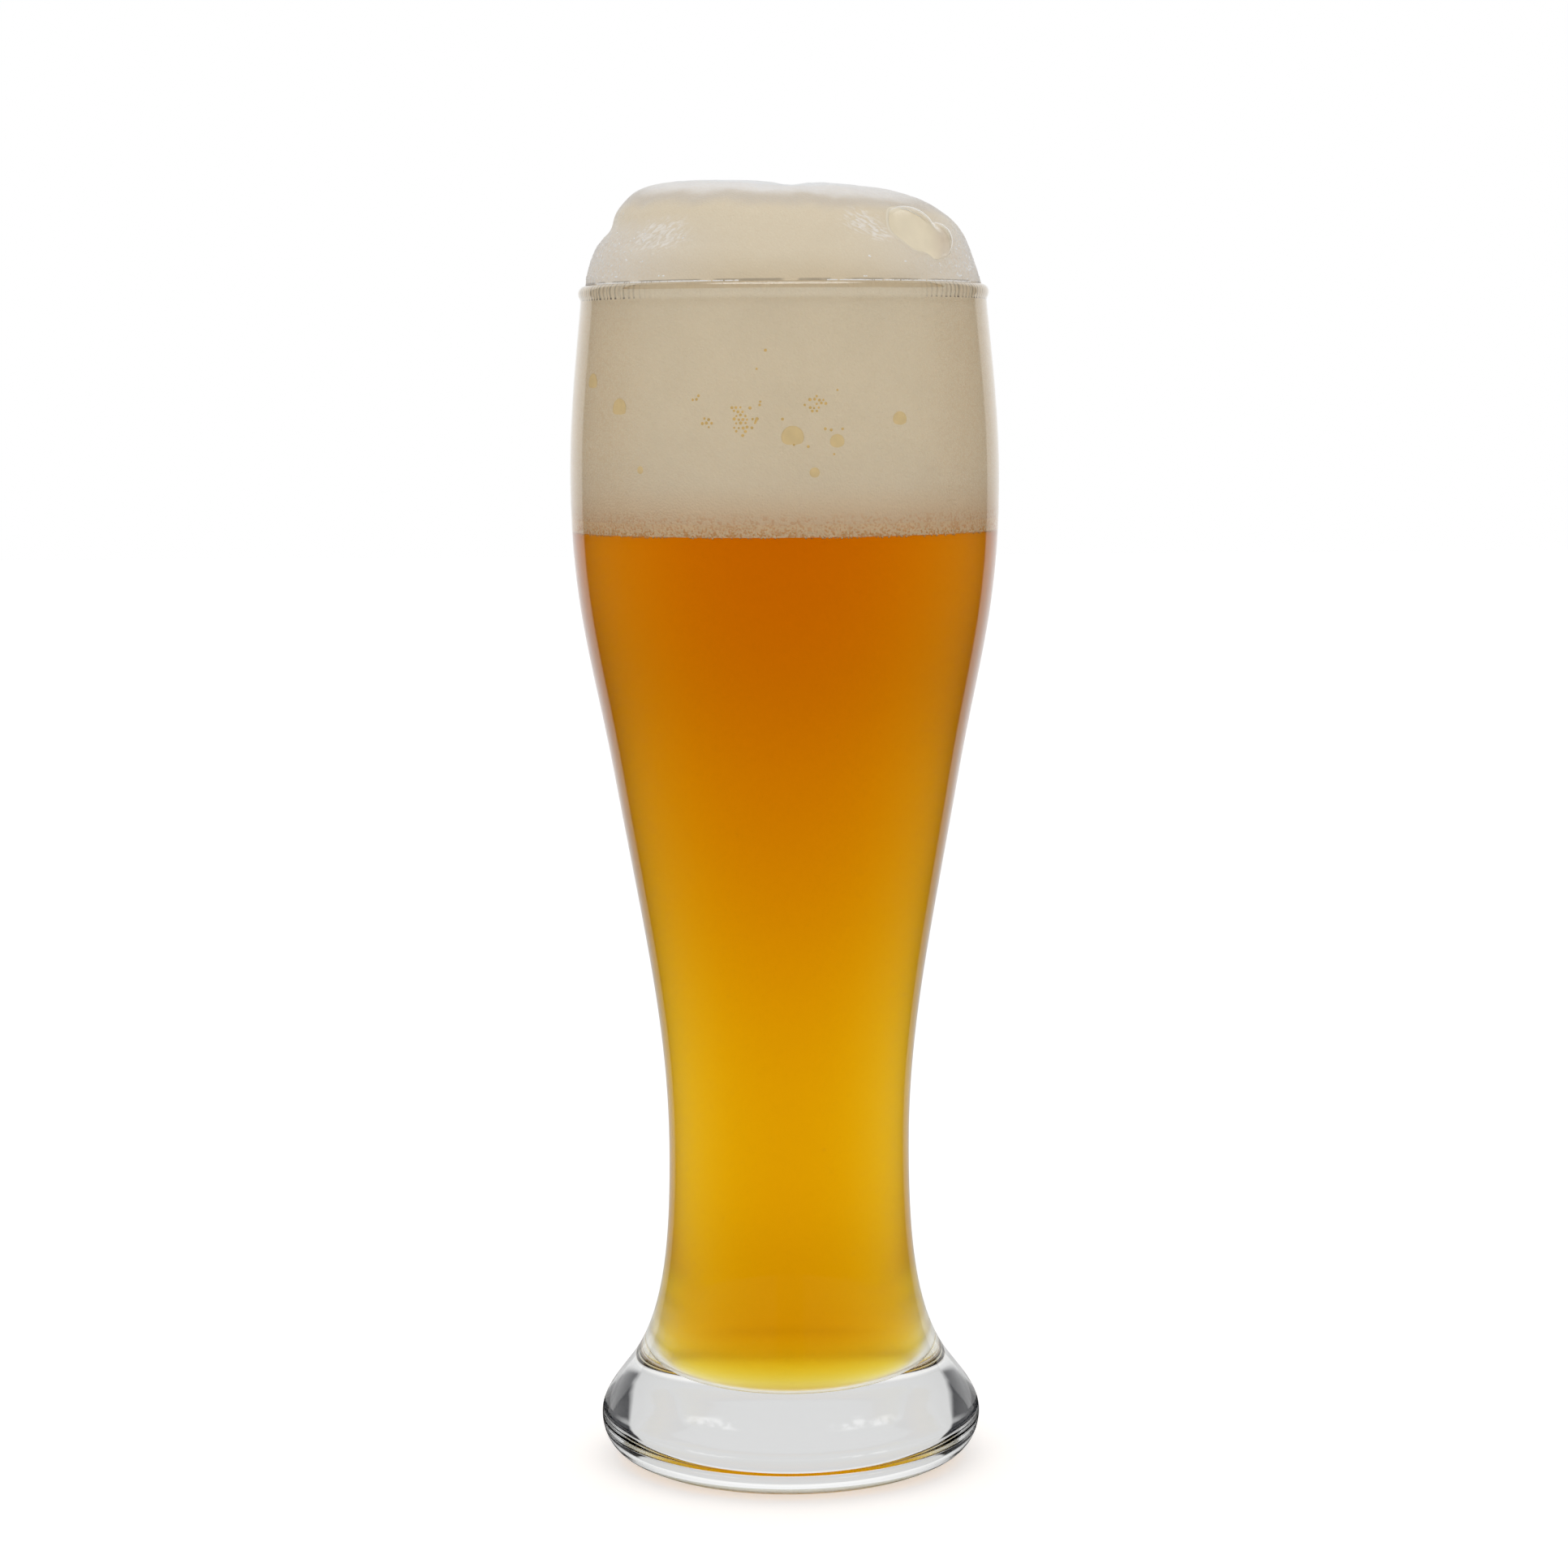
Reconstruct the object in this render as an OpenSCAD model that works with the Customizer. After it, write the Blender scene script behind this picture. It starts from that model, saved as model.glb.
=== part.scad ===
// Tall waisted wheat beer glass, filled: the glass, its beer, the fringe of coarse bubbles on the beer,
// the foam head up to the rim, the crown of foam above it and one large bubble on the crown.
// All but the crown and its bubble are turned about the Z axis. The glass stands on the table at z = 0,
// and -Y is its front. Lengths are in millimetres, angles in degrees.

/* [Glass outline] */
// Height of the rim above the table
glass_h = 235; // [215:1:265]
// Outside diameter under the rim bead
rim_d = 79.8; // [74:0.2:84]
// Outside diameter of the belly, the widest place of the bowl
belly_d = 84.8; // [80:0.2:94]
// Depth of the belly below the rim
belly_drop = 37.5; // [25:0.5:55]
// Outside diameter where the bowl turns from hollow to full
flare_d = 68.2; // [60:0.2:76]
// Depth of that turn below the rim
flare_drop = 97.6; // [80:0.2:115]
// Outside diameter of the waist
waist_d = 48.2; // [44:0.2:54]
// Height of the waist
waist_z = 62.8; // [52:0.2:75]

/* [Foot] */
// Outside diameter of the foot
foot_d = 76.4; // [70:0.2:86]
// Height of the widest place of the foot
foot_z = 9.3; // [7:0.1:12]
// Outside diameter where the shoulder of the foot turns from full to hollow
shoulder_d = 65; // [60:0.2:69]
// Height of that turn
shoulder_z = 19.3; // [16:0.1:23]
// Steepness of the shoulder at that turn
shoulder_slope = 52; // [40:1:65]
// Outside diameter of the ring that bears on the table
bearing_d = 56; // [48:0.2:62]
// Width of that ring
bearing_w = 3.4; // [2:0.1:5]
// Rise of the hollow inside the ring
punt_h = 3; // [1:0.1:4]

/* [Wall and cavity] */
// Wall under the rim
rim_wall = 2.2; // [1.6:0.1:3]
// Wall at the belly
belly_wall = 2.3; // [1.6:0.1:3.2]
// Wall where the bowl turns from hollow to full
flare_wall = 2.7; // [2:0.1:4]
// Wall at the waist
waist_wall = 3.6; // [2.5:0.1:5]
// Height of the cavity's floor, the thickness of the solid base
floor_z = 15; // [12:0.1:20]
// Diameter of the cavity just above its floor
floor_d = 43.8; // [38:0.2:46]
// Rounding between the floor and the wall
floor_round = 4; // [2:0.1:6]

/* [Rim bead] */
// Height of the rounded bead
bead_h = 2.8; // [2:0.1:4]
// How far the bead stands out of the wall
bead_out = 0.5; // [0.2:0.1:1.2]

/* [Beer and foam] */
// Depth of the beer line below the rim
foam_depth = 48; // [30:0.5:70]
// Thickness of the fringe of coarse bubbles on the beer
fringe_t = 2.4; // [1.2:0.1:4]
// Height of the crown above the rim
crown_h = 19.6; // [10:0.2:26]
// How far the crown swells out over the lip
crown_over = 1.2; // [0.4:0.1:1.8]

/* [Bubbles] */
// Length of the large bubble on the crown
bubble_l = 17; // [10:0.5:20]
// Its width
bubble_w = 11; // [7:0.5:13]
// Thickness of its film
film_t = 0.4; // [0.3:0.05:0.8]
// How deep its middle lies under the surface of the crown
bubble_sink = 2.8; // [1.6:0.1:3.6]
// Opening of the widest bubble that shows in the foam through the glass
wall_bubble_d = 4.6; // [2:0.1:6]

/* [Hidden] */
$fn = 96;

// Steps along the curves
long_steps = 20;
short_steps = 12;
arc_steps = 8;

// How far the curves keep the direction of their ends, as shares of their heights
heel_share = 0.62;
shoulder_low_share = 0.35;
shoulder_high_share = 0.32;
foot_flare_share = 0.27;
waist_low_share = 0.42;
waist_high_share = 0.33;
flare_low_share = 0.4;
flare_high_share = 0.4;
belly_low_share = 0.44;
belly_high_share = 0.35;
rim_low_share = 0.3;
// Radius that the bowl gains per height at its turn, and the share of the top's draw-in left near the rim
flare_slope_share = 0.175;
rim_draw_share = 0.4;

rim_r = rim_d / 2;
belly_r = belly_d / 2;
flare_r = flare_d / 2;
waist_r = waist_d / 2;
foot_r = foot_d / 2;
shoulder_r = shoulder_d / 2;
bearing_r = bearing_d / 2;
punt_r = bearing_r - bearing_w;
floor_r = floor_d / 2;
rim_in_r = rim_r - rim_wall;
bead_z = glass_h - bead_h / 2;
neck_z = glass_h - bead_h;
belly_z = glass_h - belly_drop;
flare_z = glass_h - flare_drop;
beer_z = glass_h - foam_depth;
head_z = beer_z + fringe_t;

// A cubic curve from its four points, without its first point
function curve(p, steps) = [for (i = [1:steps]) let (t = i / steps, s = 1 - t)
    pow(s, 3) * p[0] + 3 * s * s * t * p[1] + 3 * s * t * t * p[2] + pow(t, 3) * p[3]];

// A stretch of an ellipse about a middle, without its first point
function arc(middle, half, from, to, steps) = [for (i = [1:steps]) let (a = from + (to - from) * i / steps)
    middle + [half.x * cos(a), half.y * sin(a)]];

// The bowl's curves between its named places, for the outside and, with thinner radii, for the cavity
function bowl(low_r, mid_r, wide_r, top_r, top_z) = let (
    rise = flare_z - waist_z,
    swell = belly_z - flare_z,
    draw = top_z - belly_z,
    slope = [flare_slope_share, 1]) concat(
    curve([[low_r, waist_z], [low_r, waist_z + waist_high_share * rise],
        [mid_r, flare_z] - flare_low_share * rise * slope, [mid_r, flare_z]], long_steps),
    curve([[mid_r, flare_z], [mid_r, flare_z] + flare_high_share * swell * slope,
        [wide_r, belly_z - belly_low_share * swell], [wide_r, belly_z]], long_steps),
    curve([[wide_r, belly_z], [wide_r, belly_z + belly_high_share * draw],
        [top_r + rim_draw_share * (wide_r - top_r), top_z - rim_low_share * draw], [top_r, top_z]], short_steps));

// Underside, from the axis out to the bearing ring
underside = concat(
    [for (i = [0:arc_steps]) let (s = i / arc_steps) [punt_r * s, punt_h * (1 - s * s)]],
    [[bearing_r, 0]]);

// Foot: the rounded heel, the full shoulder and the hollow sweep up to the waist
shoulder_way = [-cos(shoulder_slope), sin(shoulder_slope)];
shoulder_at = [shoulder_r, shoulder_z];
shoulder_rise = shoulder_z - foot_z;
sweep_rise = waist_z - shoulder_z;
foot = concat(
    curve([[bearing_r, 0], [bearing_r + heel_share * (foot_r - bearing_r), 0],
        [foot_r, foot_z * (1 - heel_share)], [foot_r, foot_z]], short_steps),
    curve([[foot_r, foot_z], [foot_r, foot_z + shoulder_low_share * shoulder_rise],
        shoulder_at - shoulder_high_share * shoulder_rise * shoulder_way, shoulder_at], short_steps),
    curve([shoulder_at, shoulder_at + foot_flare_share * sweep_rise * shoulder_way,
        [waist_r, waist_z - waist_low_share * sweep_rise], [waist_r, waist_z]], long_steps));

// Lip: out round the bead, over the top and down to the cavity
lip_middle = [rim_r - rim_wall / 2, bead_z];
lip = concat(
    arc([rim_r, bead_z], [bead_out, bead_h / 2], -90, 0, arc_steps),
    arc(lip_middle, [rim_wall / 2 + bead_out, bead_h / 2], 0, 90, arc_steps),
    arc(lip_middle, [rim_wall / 2, bead_h / 2], 90, 180, arc_steps));

// Cavity wall, from the edge of its floor up to the lip
well_z = floor_z + floor_round;
well_rise = waist_z - well_z;
waist_in_r = waist_r - waist_wall;
cavity = concat(
    [[floor_r - floor_round, floor_z]],
    arc([floor_r - floor_round, well_z], [floor_round, floor_round], -90, 0, arc_steps),
    curve([[floor_r, well_z], [floor_r, well_z + waist_low_share * well_rise],
        [waist_in_r, waist_z - waist_low_share * well_rise], [waist_in_r, waist_z]], short_steps),
    bowl(waist_in_r, flare_r - flare_wall, belly_r - belly_wall, rim_in_r, bead_z));

// Radius of the cavity at a height
function cavity_r(z) = lookup(z, [for (p = cavity) [p.y, p.x]]);

// The cavity's wall between two heights
function cavity_between(low, high) = concat(
    [[cavity_r(low), low]], [for (p = cavity) if (p.y > low && p.y < high) p], [[cavity_r(high), high]]);

// What the cavity holds up to the brim, in millilitres
ml_share = 1 / 1000;
brim = concat(cavity, [[rim_in_r, glass_h]]);
brim_ml = ml_share * PI / 3 * [for (i = [1:len(brim) - 1]) let (a = brim[i - 1], b = brim[i])
    (b.y - a.y) * (a.x * a.x + a.x * b.x + b.x * b.x)] * [for (i = [1:len(brim) - 1]) 1];
echo(brim_ml = brim_ml);

// Crown: rings of points from the cavity's mouth over the lip and up to the top
crown_sides = 64;
crown_rings = 12;
crown_foot_r = rim_in_r + crown_over;
// Squareness of the crown's shoulder, more at its high side than across from it
crown_square_share = 3.9;
crown_lean_share = 0.55;
// How far the sides draw in with height, and how far the top falls away from the high side
crown_taper_share = 0.13;
crown_fall_share = 0.03;
// Direction of the high side, seen from above
crown_high_a = 180;
// Room between the crown and the lip that it swells over
lip_gap = 0.1;

// A point of the crown's skin: the rise angle runs from 0 at the lip to 90 at the top
function crown_skin(rise, a) = let (
    square = 2 / (crown_square_share + crown_lean_share * cos(a - crown_high_a)),
    up = pow(sin(rise), square),
    out = pow(cos(rise), square) * (1 - crown_taper_share * up),
    top = 1 + crown_fall_share * out * cos(a - crown_high_a))
    [crown_foot_r * out * cos(a), crown_foot_r * out * sin(a), glass_h + lip_gap + (crown_h - lip_gap) * up * top];

crown_points = concat(
    [for (z = [bead_z, glass_h + lip_gap]) for (j = [0:crown_sides - 1]) let (a = 360 * j / crown_sides)
        [rim_in_r * cos(a), rim_in_r * sin(a), z]],
    [for (i = [0:crown_rings - 1]) for (j = [0:crown_sides - 1])
        crown_skin(90 * i / crown_rings, 360 * j / crown_sides)],
    [[0, 0, bead_z], crown_skin(90, 0)]);
crown_last = crown_rings + 1;
crown_low = len(crown_points) - 2;
crown_top = len(crown_points) - 1;
crown_faces = concat(
    [for (i = [0:crown_last - 1]) for (j = [0:crown_sides - 1])
        let (k = (j + 1) % crown_sides, a = i * crown_sides, b = a + crown_sides) each
        [[a + j, b + j, b + k], [a + j, b + k, a + k]]],
    [for (j = [0:crown_sides - 1]) let (k = (j + 1) % crown_sides, a = crown_last * crown_sides) each
        [[a + j, crown_top, a + k], [crown_low, j, k]]]);

// Large bubble: where it sits on the crown, how far it leans back and how far its length dips to the right
bubble_a = -42;
bubble_rise = 16;
bubble_back = 28;
bubble_dip = -25;

// A closed spheroid whose length lies along X
module spheroid(l, w) {
    rotate([0, 90, 0])
        rotate_extrude()
            polygon(concat([[0, -l / 2]], arc([0, 0], [w / 2, l / 2], -90, 90, 3 * arc_steps)));
}

// The frame of the large bubble: Z out of the crown's skin, X along its length
module at_bubble() {
    translate(crown_skin(bubble_rise, bubble_a))
        rotate([0, 90 - bubble_back, bubble_a])
            rotate([0, 0, 90 + bubble_dip])
                translate([0, 0, -bubble_sink])
                    children();
}

// Bubbles in the foam at the wall: turn to the right of the front, height in the head, opening
wall_bubble_shares = [
    [-0.18, 0.60, 0.90], [-0.14, 0.49, 0.95], [0.006, 0.37, 1.00], [0.039, 0.35, 0.75],
    [0.09, 0.44, 0.80], [-0.116, 0.23, 0.45], [0.022, 0.22, 0.60], [-0.029, 0.445, 0.60],
    [0.024, 0.51, 0.52], [0.30, 0.55, 0.70], [0.42, 0.25, 0.85], [-0.36, 0.38, 0.75], [0.55, 0.62, 0.60]];
// Depth of such a bubble as a share of its opening
wall_bubble_depth_share = 0.3;

// A round pocket that opens at the glass
module wall_pocket(turn_share, height_share, size_share) {
    z = head_z + height_share * (bead_z - head_z);
    open_d = size_share * wall_bubble_d;
    deep = wall_bubble_depth_share * open_d;
    ball_r = (open_d * open_d / 4 + deep * deep) / (2 * deep);
    rotate([0, 0, 360 * turn_share - 90])
        translate([cavity_r(z) - deep + ball_r, 0, z])
            sphere(ball_r);
}

module glass() {
    color([0.86, 0.92, 0.94, 0.3])
        rotate_extrude()
            polygon(concat(underside, foot, bowl(waist_r, flare_r, belly_r, rim_r, neck_z), lip,
                [for (i = [len(cavity) - 2:-1:0]) cavity[i]], [[0, floor_z]]));
}

// The part of the cavity between two heights
module filling(low, high) {
    rotate_extrude()
        polygon(concat([[0, low]], cavity_between(low, high), [[0, high]]));
}

module beer() {
    color([0.86, 0.52, 0.02])
        rotate_extrude()
            polygon(concat([[0, floor_z]], [for (p = cavity) if (p.y < beer_z) p],
                [[cavity_r(beer_z), beer_z], [0, beer_z]]));
}

module bubble_fringe() {
    color([0.8, 0.66, 0.52])
        filling(beer_z, head_z);
}

module foam_head() {
    color([0.82, 0.76, 0.65])
        difference() {
            filling(head_z, bead_z);
            for (b = wall_bubble_shares)
                wall_pocket(b[0], b[1], b[2]);
        }
}

module foam_crown() {
    color([0.9, 0.87, 0.8])
        difference() {
            polyhedron(crown_points, crown_faces);
            at_bubble()
                spheroid(bubble_l, bubble_w);
        }
}

module crown_bubble() {
    color([0.92, 0.88, 0.78, 0.5])
        at_bubble()
            difference() {
                spheroid(bubble_l, bubble_w);
                spheroid(bubble_l - 2 * film_t, bubble_w - 2 * film_t);
                translate([-bubble_l, -bubble_l, -2 * bubble_l])
                    cube(2 * bubble_l);
            }
}

glass();
beer();
bubble_fringe();
foam_head();
foam_crown();
crown_bubble();
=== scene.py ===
import math
import random

import bmesh
import bpy
from mathutils import Matrix, Vector, noise
from mathutils.bvhtree import BVHTree


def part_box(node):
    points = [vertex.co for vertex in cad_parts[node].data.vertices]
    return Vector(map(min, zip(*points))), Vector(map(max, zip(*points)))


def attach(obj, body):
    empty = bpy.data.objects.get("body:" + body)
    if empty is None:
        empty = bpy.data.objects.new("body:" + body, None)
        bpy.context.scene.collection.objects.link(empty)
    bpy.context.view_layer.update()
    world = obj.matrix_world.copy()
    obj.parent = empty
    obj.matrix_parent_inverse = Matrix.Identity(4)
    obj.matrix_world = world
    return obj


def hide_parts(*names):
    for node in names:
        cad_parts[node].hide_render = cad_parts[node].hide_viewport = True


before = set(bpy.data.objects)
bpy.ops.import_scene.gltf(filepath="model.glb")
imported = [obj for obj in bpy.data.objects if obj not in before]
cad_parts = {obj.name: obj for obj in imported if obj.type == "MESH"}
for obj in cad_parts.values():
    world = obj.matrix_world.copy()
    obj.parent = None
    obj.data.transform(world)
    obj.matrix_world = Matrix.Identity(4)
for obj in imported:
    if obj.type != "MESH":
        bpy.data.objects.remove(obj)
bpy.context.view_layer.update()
scene = bpy.context.scene
mm = 0.001
tiny = 0.002 * mm
wetIor = 1.33
print("frame:", sorted(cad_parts))


# Helpers for node trees; a socket knows the tree that it is in

def addNode(tree, kind, values=None, **settings):
    # a shader node goes by its short name
    made = tree.nodes.new(kind if "Node" in kind else "ShaderNode" + kind)
    for key, value in settings.items():
        setattr(made, key, value)
    for key, value in (values or {}).items():
        if isinstance(value, bpy.types.NodeSocket):
            join(value, made.inputs[key])
        else:
            made.inputs[key].default_value = value
    return made


def join(socket, target):
    socket.id_data.links.new(socket, target)


def calc(operation, first, second=0.0):
    tree = next(value.id_data for value in (first, second) if isinstance(value, bpy.types.NodeSocket))
    return addNode(tree, "Math", {0: first, 1: second}, operation=operation).outputs[0]


def times(first, *others):
    for other in others:
        first = calc("MULTIPLY", first, other)
    return first


def fade(value, low, high, toLow=0.0, toHigh=1.0):
    made = addNode(value.id_data, "MapRange", {
        "Value": value, "From Min": low, "From Max": high, "To Min": toLow, "To Max": toHigh})
    made.interpolation_type = "SMOOTHSTEP"
    return made.outputs["Result"]


def between(value, edges):
    # 1 between the inner two of four edges, 0 outside the outer two
    a, b, c, d = edges
    return times(fade(value, a, b), fade(value, d, c))


def mixTone(share, first, second):
    made = addNode(share.id_data, "Mix", {0: share, 6: first, 7: second}, data_type="RGBA")
    return made.outputs[2]


def objectPlace(tree):
    return addNode(tree, "TexCoord").outputs["Object"]


def axesOf(vector):
    return addNode(vector.id_data, "SeparateXYZ", {0: vector}).outputs


def markOf(tree, name):
    return addNode(tree, "Attribute", attribute_name=name).outputs["Fac"]


def cloudAt(place, size, detail=2.0):
    # soft noise, with patches of a size in mm
    return addNode(place.id_data, "TexNoise", {
        "Vector": place, "Scale": 1 / (size * mm), "Detail": detail}).outputs[0]


def cloudy(tree, tone, size, depth):
    # the tone, with softly darker patches
    cloud = cloudAt(objectPlace(tree), size, 3.0)
    dim = tuple((1 - depth) * c for c in tone[:3]) + (1,)
    return mixTone(fade(cloud, 0.3, 0.7), tone, dim)


def addBump(shader, height, strength, depth):
    bump = addNode(height.id_data, "Bump", {
        "Height": height, "Strength": strength, "Distance": depth * mm})
    join(bump.outputs[0], shader.inputs["Normal"])


def newMaterial(name, values):
    material = bpy.data.materials.new(name)
    material.use_nodes = True
    tree = material.node_tree
    shader = tree.nodes["Principled BSDF"]
    for key, value in values.items():
        shader.inputs[key].default_value = value
    return material, tree, shader


def newGroup(name, kind, given, put):
    # a group with named sockets, and its two ends
    group = bpy.data.node_groups.new(name, kind)
    for way, sockets in (("INPUT", given), ("OUTPUT", put)):
        for label, sort in sockets.items():
            group.interface.new_socket(label, in_out=way, socket_type="NodeSocket" + sort)
    return group, group.nodes.new("NodeGroupInput").outputs, group.nodes.new("NodeGroupOutput").inputs


def held(value):
    return min(1.0, max(0.0, value))


def cosOf(degrees):
    return math.cos(math.radians(degrees))


def sinOf(degrees):
    return math.sin(math.radians(degrees))


# Camera, at the photograph's place
photo = {
    "pixels": 1932,
    "focalPixels": 4800,
    "sensor": 36.0,
    "distance": 0.7729,
    "height": 0.2168,
    "pitch": 5.95,
    "roll": 0.38,
}


def addCamera():
    data = bpy.data.cameras.new("photoCamera")
    data.sensor_width = photo["sensor"]
    data.lens = photo["focalPixels"] * photo["sensor"] / photo["pixels"]
    data.clip_start = 0.01
    camera = bpy.data.objects.new("photoCamera", data)
    scene.collection.objects.link(camera)
    camera.location = (0, -photo["distance"], photo["height"])
    camera.rotation_euler = (math.radians(90 - photo["pitch"]), math.radians(photo["roll"]), 0)
    scene.camera = camera
    print("camera:", round(data.lens, 1), "mm")


# Studio: a white sweep behind, pale sides, dark corners, a lamp overhead
studio = {
    "wallHalf": (40, 43),  # degrees from the back where the mirrored wall ends
    "wallFall": (20, 42, 0.65),  # degrees between which it dims, and the level it dims to
    "roomLevel": 0.015,  # mirrored beside it
    "panelSpan": (10, 13, 92, 95),  # degrees from the front of each dim panel
    "panelLevel": 0.03,
    "topStart": (64, 72),  # degrees up where the lamp overhead begins
    "topLevel": 5.0,
    "sideStart": (46, 60),  # degrees from the back where the wall seen through the glass dims
    "sideLevel": 0.80,
    "cornerSpan": (42, 44.5, 82, 96),  # degrees from the back of each dark corner
    "cornerRise": (5.0, 7.5, 20, 23),  # and degrees up
    "darkTone": (0.010, 0.011, 0.016, 1),
    "glassOnly": 2.5,  # refractions: into the glass and out again, without the beer
    "hazeRise": (5, 9, 24, 31),  # degrees up of the greyer band of the wall
    "hazeLow": (0.5, 3),  # where it begins in the plain glass of the foot
    "hazeLevel": 0.74,
    "spotTurn": (5, 12, 18, 27),  # degrees from the back of the two soft spots on the wall
    "spotRise": (10.5, 12.2, 13.4, 14.6),
    "spotLevel": 0.6,  # how far they lift the greyer band
    "spotScale": 18.0,
    "spotCloud": (0.38, 0.62),  # how ragged they are
    "lightFront": 0.93,  # light on matt surfaces from the front, the sides and behind
    "lightSide": 0.68,
    "lightBack": 1.0,
    "floorSize": 8.0,
    "floorDrop": 0.05,  # mm under the glass, so that no faces coincide
    "floorTone": (0.8, 0.8, 0.8, 1),
    "floorGlow": 0.47,  # added for the camera alone
    "floorThrough": (0.09, 0.25, 0.95, 1.06),  # metres out, and what shows there through the glass
    "floorMirror": (0.2, 1.0, 0.58, 1.0),  # metres out, and the share of the wall mirrored there
}


def scaled(vector, sizes):
    return addNode(vector.id_data, "VectorMath", {0: vector, 1: sizes}, operation="MULTIPLY").outputs[0]


def lengthOf(vector):
    return addNode(vector.id_data, "VectorMath", {0: vector}, operation="LENGTH").outputs["Value"]


def backShare(way):
    # cosine of the angle between a direction over the floor and the way to the wall, and its height
    _, deep, up = axesOf(way)
    length = lengthOf(scaled(way, (1, 1, 0)))
    return calc("DIVIDE", deep, calc("MAXIMUM", length, tiny)), up


def mirroredOnly(ray):
    # refracted rays count as glossy too, so they are taken out
    return times(ray["Is Glossy Ray"], calc("SUBTRACT", 1.0, ray["Is Transmission Ray"]))


def lightsMatt(ray):
    return calc("GREATER_THAN", ray["Diffuse Depth"], 0.5)


def mirroredWall(back):
    edge = fade(back, *(cosOf(a) for a in reversed(studio["wallHalf"])))
    near, far, level = studio["wallFall"]
    return times(edge, fade(back, cosOf(far), cosOf(near), level, 1.0))


def addWorld():
    world = bpy.data.worlds.new("studioWorld")
    scene.world = world
    world.use_nodes = True
    tree = world.node_tree
    ray = addNode(tree, "LightPath").outputs
    way = addNode(tree, "TexCoord").outputs["Generated"]
    back, up = backShare(way)

    def turned(value, key):
        return between(value, [cosOf(a) for a in studio[key]])

    def raised(key):
        return between(up, [sinOf(a) for a in studio[key]])

    # seen through the glass
    foot = calc("LESS_THAN", ray["Transmission Depth"], studio["glassOnly"])
    corner = times(turned(back, "cornerSpan"), raised("cornerRise"), foot)
    a, b, c, d = (sinOf(x) for x in studio["hazeRise"])
    low = times(foot, fade(up, *(sinOf(x) for x in studio["hazeLow"])))
    haze = times(calc("MAXIMUM", low, fade(up, a, b)), fade(up, d, c))
    cloud = addNode(tree, "TexNoise", {
        "Vector": way, "Scale": studio["spotScale"], "Detail": 3.0}).outputs[0]
    spot = times(turned(back, "spotTurn"), raised("spotRise"), fade(cloud, *studio["spotCloud"]))
    haze = times(haze, fade(spot, 0.0, 1.0, 1.0, 1.0 - studio["spotLevel"]))
    wall = fade(calc("ABSOLUTE", back), *(cosOf(x) for x in reversed(studio["sideStart"])),
                studio["sideLevel"], 1.0)
    wall = times(wall, calc("SUBTRACT", 1.0, times(haze, 1 - studio["hazeLevel"])))
    through = mixTone(corner, wall, studio["darkTone"])
    # mirrored by the outside
    panel = times(turned(times(back, -1.0), "panelSpan"), studio["panelLevel"])
    mirrored = calc("ADD", panel, calc("MAXIMUM", mirroredWall(back), studio["roomLevel"]))
    lamp = fade(up, *(sinOf(x) for x in studio["topStart"]), 0.0, studio["topLevel"])
    mirrored = calc("MAXIMUM", mirrored, lamp)
    # lighting matt surfaces
    deep = axesOf(way)[1]
    light = calc("ADD", fade(deep, 0.0, 1.0, studio["lightSide"], studio["lightBack"]),
                 fade(deep, 0.0, -1.0, 0.0, studio["lightFront"] - studio["lightSide"]))

    level = mixTone(mirroredOnly(ray), through, mirrored)
    level = mixTone(lightsMatt(ray), level, light)
    level = mixTone(ray["Is Camera Ray"], level, (1, 1, 1, 1))
    join(level, tree.nodes["Background"].inputs["Color"])


def addFloor():
    half = studio["floorSize"] / 2
    low = -studio["floorDrop"] * mm
    mesh = bpy.data.meshes.new("floor")
    mesh.from_pydata([(-half, -half, low), (half, -half, low), (half, half, low), (-half, half, low)], [],
                     [(0, 1, 2, 3)])
    floor = bpy.data.objects.new("floor", mesh)
    scene.collection.objects.link(floor)
    material, tree, shader = newMaterial("paleFloor", {
        "Roughness": 0.9, "Specular IOR Level": 0.0, "Emission Color": (1, 1, 1, 1)})
    ray = addNode(tree, "LightPath").outputs
    place = objectPlace(tree)
    back, _ = backShare(place)
    away = lengthOf(place)
    mirrored = mirroredOnly(ray)
    seen = times(calc("MAXIMUM", mirrored, ray["Is Transmission Ray"]),
                 calc("SUBTRACT", 1.0, lightsMatt(ray)))
    # the camera and matt surfaces see a lit floor, the glass a plain glow
    join(mixTone(seen, studio["floorTone"], (0, 0, 0, 1)), shader.inputs["Base Color"])
    shown = times(mirroredWall(back), fade(away, *studio["floorMirror"]))
    glow = mixTone(mirrored, fade(away, *studio["floorThrough"]), shown)
    glow = calc("ADD", times(glow, seen), times(ray["Is Camera Ray"], studio["floorGlow"]))
    join(glow, shader.inputs["Emission Strength"])
    mesh.materials.append(material)
    print("studio: world and floor")


# Turned shapes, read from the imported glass

def turnedOutline(name):
    # the seam of a turned solid as (radius, height), from the axis underneath round to its floor
    work = bmesh.new()
    work.from_mesh(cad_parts[name].data)
    bmesh.ops.remove_doubles(work, verts=work.verts, dist=tiny)
    seam = {v for v in work.verts if abs(v.co.y) < tiny and v.co.x > -tiny}
    here = min(seam, key=lambda v: (v.co.x > tiny, v.co.z))
    walked = []
    while here is not None:
        seam.discard(here)
        walked.append(Vector((here.co.x, here.co.z)))
        following = [e.other_vert(here) for e in here.link_edges if e.other_vert(here) in seam]
        here = min(following, key=lambda v: (v.co - here.co).length) if following else None
    work.free()
    return walked


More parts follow.
